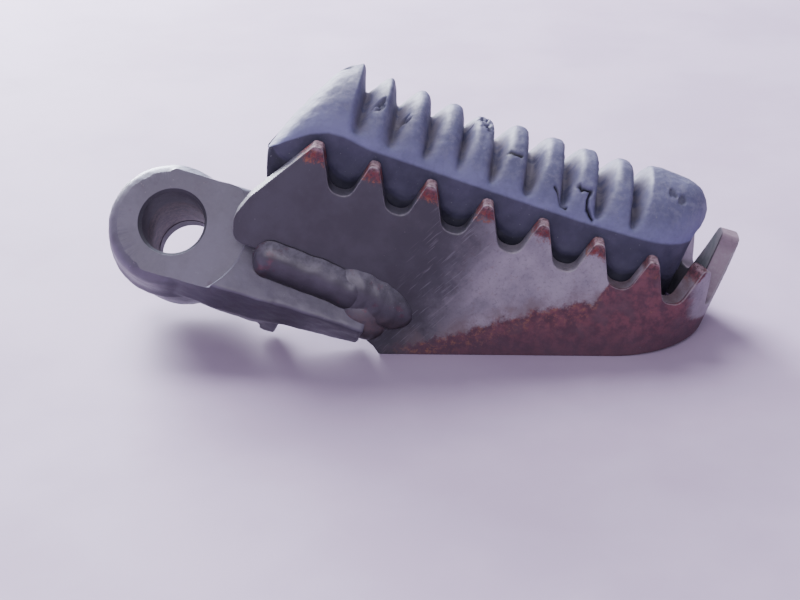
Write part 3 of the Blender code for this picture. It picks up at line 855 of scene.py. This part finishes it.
# outline tables: distances along the tread, then heights there
RAMP = (
    (NOSE_START, -8.7, -7.3, -5.8, -4.0, -2.7, -0.2, 3.3),
    (-5.8, -3.6, 0.3, 3.4, 6.5, 8.4, 10.3, 11.9),
)
SHOULDER = (
    (NOSE_START, -6.2, -2.1, 1.0, 4.0, 9.0, 50.0, 64.0, 76.0),
    (-5.8, -2.9, 0.1, 1.4, 1.6, 0.8, 0.8, 1.4, 1.9),
)
NOSE_SKEW = 0.16
CROWN_POWER = 1.4
RIB_HEIGHT = (
    (PEAK_S, 9.5, 16.0, 23.0, 29.0, 36.0, 50.0, 60.0, 64.0),
    (10.3, 10.4, 10.0, 9.4, 8.6, 9.2, 9.5, 9.5, 9.9),
)
FLOOR_HEIGHT = ((5.0, 10.0, 18.0, 30.0, 38.0, 56.0), (3.6, 4.1, 4.2, 4.1, 3.9, 3.9))


def smoothstep(x, low, high):
    f = np.clip((x - low) / (high - low), 0, 1)
    return f * f * (3 - 2 * f)


def value_noise(x, y, seed=0.0):
    flat = np.stack([np.ravel(x), np.ravel(y)], 1)
    out = np.array([noise.noise((a, b, seed)) for a, b in flat])
    return out.reshape(np.shape(x))


def rib_wave(sigma, lift):
    """1 on a rib's crest, 0 on a groove's floor; lift is 0 at the flank and 1 on top.

    The ribs lean outboard, sharper near the nose, and the grooves run out above the shoulder.
    """
    wave = np.zeros_like(sigma)
    spread = 1 + 0.3 * (1 - lift)
    for k in range(RIB_COUNT):
        x = sigma - RIB_START - k * RIB_PITCH - RIB_SHIFT[k]
        blunt = min(1.0, k / 4)
        reach = np.where(x < 0, 3.7 - 0.9 * blunt, 2.5 + 0.15 * blunt) * spread
        power = 1.5 + np.where(x < 0, 2.2, 3.2) * blunt
        wave = np.maximum(wave, 1 - np.clip(np.hypot(x, 0.25) / reach, 0, 1) ** power)
    nose = 1 - smoothstep(sigma - 3.2, 0.2, 3.0)
    last = RIB_START + RIB_COUNT * RIB_PITCH + 0.6
    block = smoothstep(sigma, last - 3.0, last - 1.2)
    wave = np.maximum(np.maximum(wave, nose), block)
    padded = np.pad(wave, ((2, 2), (0, 0)), "edge")
    wave = sum(padded[k:k + len(wave)] for k in range(5)) / 5
    return 1 - (1 - wave) * smoothstep(lift, 0.12, 0.48)


def underside(sigma, half, low):
    """Bottom of the pad from the far rim to the near rim, hollowed where the steel plate sits."""
    rim = half - np.minimum(PLATE_RIM, 0.5 * half)
    hollow = (sigma > PLATE_FROM) & (sigma < PLATE_TO)
    roof = np.where(hollow, RUBBER_LOW + PLATE_T + 0.3, low)
    for stud_s in STUD_S:
        roof = np.where(np.abs(sigma - stud_s) < STUD_HEAD_R + 0.3, STUD_HEAD_TOP + 0.2, roof)
    slant = NOSE_SKEW * np.clip((PLATE_FROM - sigma) / (PLATE_FROM - sigma[0]), 0, 1)
    columns = []
    for across, t in ((rim, low), (rim - 0.05, roof), (0.05 - rim, roof), (-rim, low)):
        y = RUBBER_MID + across
        columns.append(np.stack([sigma + slant * (y - NOSE_HINGE), y, t], -1))
    return np.stack(columns, 1)


def rubber_grid():
    step = 0.2
    nose = NOSE_START + NOSE_LENGTH * (1 - np.cos(np.linspace(0.12, math.pi / 2, 14)))
    middle = np.arange(nose[-1] + step, TAIL_START, step)
    tail_turn = np.linspace(0.0, math.pi / 2 - 0.035, 90)
    tail = TAIL_START + TAIL_LENGTH * np.sin(tail_turn)
    sigma = np.concatenate([nose, middle, tail])
    crown_count = 150
    side = np.linspace(0, 1, 26)[:-1]
    theta = np.linspace(math.pi, 0, crown_count)
    half = np.full_like(sigma, RUBBER_HALF)
    in_nose = np.clip((-6.6 - sigma) / NOSE_LENGTH, 0, 1)
    half -= NOSE_LENGTH * (1 - np.sqrt(1 - in_nose ** 2))
    in_tail = np.clip((sigma - TAIL_START) / TAIL_LENGTH, 0, 1)
    half = np.where(sigma > TAIL_START, RUBBER_HALF * np.sqrt(np.clip(1 - in_tail ** 2, 0, 1)), half)
    shoulder = np.interp(sigma, *SHOULDER)
    ramp = np.interp(sigma, *RAMP)
    ramp = np.convolve(np.pad(ramp, 6, "reflect", reflect_type="odd"), np.ones(13) / 13, "valid")
    low = np.where(sigma < -7.4, RUBBER_LOW + (-7.4 - sigma) * 2.9, RUBBER_LOW)
    # crown: full rib height and groove floor height above the shoulder
    rib_h = np.where(sigma < PEAK_S, ramp - shoulder, np.interp(sigma, *RIB_HEIGHT))
    rib_h = np.maximum(rib_h, 0.0)
    rib_h = rib_h * (1 - 0.5 * in_tail ** 6)
    floor_h = np.interp(sigma, *FLOOR_HEIGHT)
    floor_h = np.minimum(floor_h, rib_h)

    S, TH = np.meshgrid(sigma, theta, indexing="ij")
    lift = np.sin(TH)
    wave = rib_wave(S, lift)
    height = floor_h[:, None] + (rib_h - floor_h)[:, None] * wave
    crest_wear = 0.35 * value_noise(S * 0.21, TH * 2.2, 3.0) * wave * lift
    y = RUBBER_MID + half[:, None] * np.cos(TH) * (1 - 0.012 * (1 - wave))
    t = shoulder[:, None] + (height + crest_wear) * lift ** CROWN_POWER
    crown = np.stack([S, y, t], -1)

    def flank(sign):
        S2, F = np.meshgrid(sigma, side, indexing="ij")
        t2 = low[:, None] + (shoulder - low)[:, None] * F
        notch = ((S2 - 0.85) / PITCH) % 1.0 - 0.5
        arc = 17.0 * notch ** 2
        tuck = 0.25 * smoothstep(-t2, 5.6 - arc, 6.2 - arc)
        tuck = tuck + 0.25 * value_noise(S2 * 0.35, t2 * 0.5, 5.0) * smoothstep(-t2, 3.5, 6.0)
        y2 = RUBBER_MID + sign * (half[:, None] - np.minimum(tuck, half[:, None] * 0.2))
        return np.stack([S2, y2, t2], -1)

    near = flank(-1)
    far = flank(1)[:, ::-1]
    grid = np.concatenate([near, crown, far], axis=1)
    wave_all = np.concatenate([np.zeros(near.shape[:2]), wave, np.zeros(far.shape[:2])], 1)
    lift_all = np.concatenate([np.zeros(near.shape[:2]), lift, np.zeros(far.shape[:2])], 1)
    fade = np.clip((PEAK_S - grid[..., 0]) / NOSE_FADE, 0, 1)
    grid[..., 0] += NOSE_SKEW * (grid[..., 1] - NOSE_HINGE) * fade
    grid[..., 0] += 0.9 * smoothstep(grid[..., 2], 1.5, 6.0) * smoothstep(grid[..., 0], 62.0, 72.0)
    recess = underside(sigma, half, low)
    blank = np.zeros(recess.shape[:2])
    grid = np.concatenate([grid, recess], 1)
    wave_all = np.concatenate([wave_all, blank], 1)
    lift_all = np.concatenate([lift_all, blank], 1)
    return grid, wave_all, lift_all


# scars on the crown: (points as (s, y), width, depth)
CRACKS = (
    (((44.1, 6.9), (45.6, 6.1), (47.2, 5.3)), 0.20, 1.1),
    (((48.3, 8.3), (49.1, 7.6), (51.0, 7.9), (50.6, 6.6), (51.1, 5.6), (52.7, 5.0)), 0.24, 1.5),
    (((34.0, 10.4), (35.1, 9.6), (36.6, 9.8)), 0.28, 0.8),
)
CHIPS = (
    (8.0, 10.6, 1.0, 0.9), (8.7, 9.5, 0.7, 0.7), (13.3, 11.2, 0.9, 0.7), (14.1, 10.1, 0.6, 0.5),
    (28.6, 18.0, 1.7, 1.2), (29.4, 15.0, 1.2, 0.7), (29.0, 21.5, 1.4, 0.8),
    (66.4, 11.6, 1.0, 0.30), (68.4, 11.0, 0.9, 0.25), (0.9, 18.5, 0.9, 0.5), (2.2, 21.0, 1.2, 0.6),
)


def segment_distance(px, py, points):
    best = np.full(px.shape, 1e9)
    for (ax, ay), (bx, by) in zip(points, points[1:]):
        dx, dy = bx - ax, by - ay
        f = np.clip(((px - ax) * dx + (py - ay) * dy) / (dx * dx + dy * dy), 0, 1)
        best = np.minimum(best, np.hypot(px - ax - f * dx, py - ay - f * dy))
    return best


def make_rubber():
    grid, wave, lift = rubber_grid()
    mesh = skin("rubber_skin", grid)
    rubber = add_mesh("rubber_skin", mesh)
    co = np.array([v.co[:] for v in mesh.vertices])
    normal = np.array([v.normal[:] for v in mesh.vertices])
    s, y = co[:, 0], co[:, 1]
    wave = wave.ravel()
    lift = lift.ravel()
    top = smoothstep(lift, 0.02, 0.2)
    crack = np.zeros(len(co))
    depth = np.zeros(len(co))
    jitter = 0.22 * value_noise(s * 1.3, y * 1.3, 9.0)
    for points, width, deep in CRACKS:
        d = segment_distance(s + jitter, y - jitter, points)
        cut = np.exp(-(d / width) ** 2) * top
        crack = np.maximum(crack, cut)
        depth += deep * cut * 0.6
    for cs, cy, radius, deep in CHIPS:
        d = np.hypot(s - cs, y - cy) + 0.8 * radius * value_noise(s * 1.1, y * 1.1, cs)
        bite = (1 - smoothstep(d, radius * 0.55, radius)) * top
        depth += deep * bite
        crack = np.maximum(crack, 0.45 * bite)
    wobble = 0.10 * value_noise(s * 0.5, y * 0.5 + co[:, 2] * 0.5, 2.0)
    wobble += 0.05 * value_noise(s * 1.6, y * 1.6 + co[:, 2] * 1.6, 4.0)
    co += normal * (wobble - depth)[:, None]
    mesh.vertices.foreach_set("co", co.ravel())
    mesh.update()
    set_attribute(rubber, "crack", crack)
    set_attribute(rubber, "crown", smoothstep(lift, 0.01, 0.15))
    set_attribute(rubber, "lift", lift)
    set_attribute(rubber, "crest", wave * smoothstep(lift, 0.25, 0.8))
    set_attribute(rubber, "groove", (1 - wave) * smoothstep(lift, 0.2, 0.7))
    seat(rubber)
    smooth(rubber, 60)
    return rubber


# ---------------------------------------------------------------- welds

def bead(name, path, outward, along, size, ripple=0.16, pitch=1.25, seed=1.0, chevron=0.45,
         blend=0.6, root=1.5):
    """Weld bead: a run of overlapping puddles along a path, flattened on its joint.

    size gives (half width, half height, end taper) in millimetres.
    """
    half_w, half_h, taper = size
    pts = [Vector(p) for p in path]
    lengths = [0.0]
    for a, b in zip(pts, pts[1:]):
        lengths.append(lengths[-1] + (b - a).length)
    total = lengths[-1]
    count = max(24, int(total / (0.12)))
    around = 56
    outward = Vector(outward).normalized()
    side = Vector(along).normalized()
    rings = []
    for i in range(count + 1):
        u = total * i / count
        k = max(j for j in range(len(lengths)) if lengths[j] <= u + 1e-9)
        k = min(k, len(pts) - 2)
        centre = pts[k].lerp(pts[k + 1], (u - lengths[k]) / (lengths[k + 1] - lengths[k]))
        tangent = (pts[-1] - pts[0]).normalized()
        edge = min(u, total - u) / taper
        close = math.sqrt(max(0.0, 1 - (1 - min(edge, 1.0)) ** 2)) * 0.98 + 0.02
        ring = []
        for j in range(around):
            a = 2 * math.pi * j / around
            phase = 2 * math.pi * (u / pitch + chevron * math.cos(a) ** 2)
            lump = 1 + ripple * (0.5 + 0.5 * math.sin(phase)) ** 2 * max(0.0, math.sin(a)) ** 0.5
            lump += 0.07 * noise.noise(Vector((u * 0.35, math.cos(a) * 1.2, seed)))
            w = half_w * close * lump * math.cos(a)
            swell = max(0.0, math.sin(a))
            power = 1.0 + blend * max(0.0, math.cos(a)) ** 0.5
            h = half_h * close * lump * swell ** power - root * close * max(0.0, -math.sin(a))
            ring.append(centre + side * w + outward * h + tangent * (0.15 * math.sin(a)))
        rings.append(ring)
    obj = add_mesh(name, skin(name, np.array(rings)))
    seat(obj)
    smooth(obj, 50)
    return obj


def make_welds():
    under = -14.0
    beads = {}
    beads["weld_near_first_pass"] = bead(
        "weld_first_bead",
        [(-5.2, 0.1, -24.5), (2.0, 0.1, -24.8), (9.0, 0.1, -25.2), (17.5, 0.2, -26.4)],
        (0, -0.95, 0.10), (0, -0.10, 1.0), (4.2, 2.5, 3.2), 0.0, 2.6, 3.0, 0.4, 1.1, 2.4)
    second = bead(
        "weld_second_bead",
        [(9.5, 0.2, -24.4), (15.0, 0.1, -25.0), (20.0, 0.1, -25.8), (27.2, 0.4, -27.2)],
        (0, -0.97, 0.10), (0, 0.05, 1.0), (4.6, 2.2, 7.0), 0.045, 3.3, 8.0, 1.0, 1.0, 1.5)
    corner = bead(
        "weld_corner_bead",
        [(17.9, 0.1, -25.0), (18.1, 0.1, -29.5), (20.0, 0.5, -34.4)],
        (-0.15, -1, 0), (1, 0, 0.1), (4.5, 2.5, 4.4), 0.0, 2.4, 11.0, 0.4, 0.6, 2.6)
    boolean(second, corner, "UNION")
    smooth(second, 50)
    beads["weld_near_second_pass"] = second
    beads["weld_arm_to_bridge"] = bead(
        "weld_arm_bead", [(-2.0, 10.3, -15.4), (7.0, 10.4, -15.5), (17.0, 10.3, -15.4)],
        (0, 0, -1), (0, 1, 0), (3.0, 1.5, 1.5), 0.2, 1.3, 5.0)
    for side_name, wall_y, sign in (("near", BAND_T, 1.0), ("far", BAND_WIDTH - BAND_T, -1.0)):
        for place_name, start, end in (("inboard", 1.0, 13.0), ("outboard", 42.0, 58.0)):
            node = f"stitch_weld_{side_name}_{place_name}"
            near_wall = wall_y + sign * 1.0
            path = [
                (start, near_wall, under - 1.0),
                ((start + end) / 2, wall_y + sign * 1.1, under - 1.1),
                (end, near_wall, under - 1.0),
            ]
            beads[node] = bead(
                f"stitch_bead_{side_name}_{place_name}", path,
                (0, sign, -1), (0, sign, 1), (2.1, 1.2, 1.6), 0.2, 1.2, start + wall_y)
    return beads


# ---------------------------------------------------------------- fasteners

def make_stud(name, s):
    """Stud with a flat head under the rubber and a metric thread below the bridge plate."""
    head = RUBBER_LOW + PLATE_T + 0.3
    pitch = 1.0
    plain_end = -12.0
    rows = [
        (0.4, head + 1.5), (5.7, head + 1.5), (STUD_HEAD_R, head + 1.3), (STUD_HEAD_R, head),
        (STUD_R, head), (STUD_R, plain_end),
    ]
    sides = 40
    grid = [[(r * math.cos(2 * math.pi * k / sides), r * math.sin(2 * math.pi * k / sides), z)
             for k in range(sides)] for r, z in rows]
    steps = int((plain_end - 0.4 - STUD_LOW) / pitch * 8)
    for i in range(1, steps + 1):
        ring = []
        for k in range(sides):
            a = 2 * math.pi * k / sides
            z = plain_end - 0.2 - i * pitch / 8
            phase = (z / pitch + k / sides) % 1.0
            depth = 0.55 * (1 - abs(2 * phase - 1)) * min(1.0, i / 8)
            r = STUD_R - depth
            if i > steps - 6:
                r = min(r, STUD_R - 0.14 * (i - steps + 6))
            ring.append((r * math.cos(a), r * math.sin(a), z))
        grid.append(ring)
    mesh = skin(name, np.array(grid))
    mesh.transform(Matrix.Translation((s, RUBBER_MID, 0)))
    stud = add_mesh(name, mesh)
    seat(stud)
    smooth(stud, 30)
    return stud


# ---------------------------------------------------------------- assembly

def dress(obj, mat):
    obj.data.materials.clear()
    obj.data.materials.append(mat)


PAINT = forged_material()
BAND_PAINT = band_material()
WELD_PAINT = weld_material()
RUBBER = rubber_material()
ZINC = zinc_material()

for piece, nodes, mat, slot_name in (
    (make_band(), ["tread_band"], BAND_PAINT, "worn_steel"),
    (make_forging(), ["pivot_forging"], PAINT, "forged_black"),
    (make_rubber(), ["rubber_insert"], RUBBER, "grip_rubber"),
    (make_stud("stud_threaded_inboard", STUD_S[0]), ["insert_stud_inboard"], ZINC, "zinc_steel"),
    (make_stud("stud_threaded_outboard", STUD_S[1]), ["insert_stud_outboard"], ZINC, "zinc_steel"),
):
    dress(piece, mat)
    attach(piece, "root")
    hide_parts(*nodes)

for node, piece in make_welds().items():
    dress(piece, WELD_PAINT)
    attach(piece, "root")
    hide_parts(node)

for node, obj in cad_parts.items():
    if node == "bridge_plate":
        looks = BAND_PAINT
    elif "washer" in node or "nut" in node or node == "insert_base_plate":
        looks = ZINC
    else:
        continue
    for material_slot in obj.material_slots:
        material_slot.material = looks


# ---------------------------------------------------------------- stage, lights, camera

def make_floor():
    size = 1.2
    mesh = bpy.data.meshes.new("floor")
    z = FLOOR_Z
    corners = [(-size, -size, z), (size, -size, z), (size, size, z), (-size, size, z)]
    mesh.from_pydata(corners, [], [(0, 1, 2, 3)])
    floor = add_mesh("floor", mesh)
    g = Graph("floor_pale")
    colour = g.mix(g.step(g.noise(40.0, 4.0), 0.35, 0.65), (0.430, 0.335, 0.505), (0.485, 0.385, 0.565))
    floor.data.materials.append(g.finish(colour, 0.75))


def area_light(name, place, target, size, power, colour=(1, 1, 1)):
    light = bpy.data.lights.new(name, "AREA")
    light.shape = "DISK"
    light.size = size
    light.energy = power
    light.color = colour
    obj = bpy.data.objects.new(name, light)
    bpy.context.scene.collection.objects.link(obj)
    obj.location = place
    obj.rotation_euler = (Vector(target) - Vector(place)).to_track_quat("-Z", "Y").to_euler()


def make_camera():
    """Camera from azimuth, elevation, roll and distance to a point on the tread's near plane."""
    azimuth = math.radians(-3.91)
    elevation = math.radians(26.93)
    roll = math.radians(-1.36)
    distance = 0.28452
    aim = ORIGIN + Vector((14.17, 0.0, 11.85 - TIP_HEIGHT)) * MM
    forward = Vector((
        math.sin(azimuth) * math.cos(elevation), math.cos(azimuth) * math.cos(elevation), -math.sin(elevation)
    ))
    right = Vector((math.cos(azimuth), -math.sin(azimuth), 0.0))
    up = right.cross(forward)
    turned_right = math.cos(roll) * right + math.sin(roll) * up
    turned_up = math.cos(roll) * up - math.sin(roll) * right
    data = bpy.data.cameras.new("camera")
    data.lens = 67.5
    data.sensor_width = 36.0
    data.clip_start = 0.01
    cam = bpy.data.objects.new("camera", data)
    bpy.context.scene.collection.objects.link(cam)
    axes = Matrix((turned_right, turned_up, -forward)).transposed()
    cam.matrix_world = Matrix.Translation(aim - forward * distance) @ axes.to_4x4()
    bpy.context.scene.camera = cam


make_floor()
area_light("sky", (-0.22, 0.42, 0.70), (0, 0, 0.02), 0.5, 12.0, (0.93, 0.93, 1.0))
area_light("back", (-0.35, 0.60, 0.28), (-0.03, 0, 0.03), 0.4, 20.0, (0.90, 0.93, 1.0))
area_light("fill", (-0.05, -0.7, 0.50), (0, 0, 0.02), 0.7, 3.5, (1.0, 0.95, 1.0))
world = bpy.data.worlds.new("studio")
world.use_nodes = True
world.node_tree.nodes["Background"].inputs["Color"].default_value = (0.84, 0.80, 0.95, 1.0)
world.node_tree.nodes["Background"].inputs["Strength"].default_value = 0.48
bpy.context.scene.world = world
make_camera()
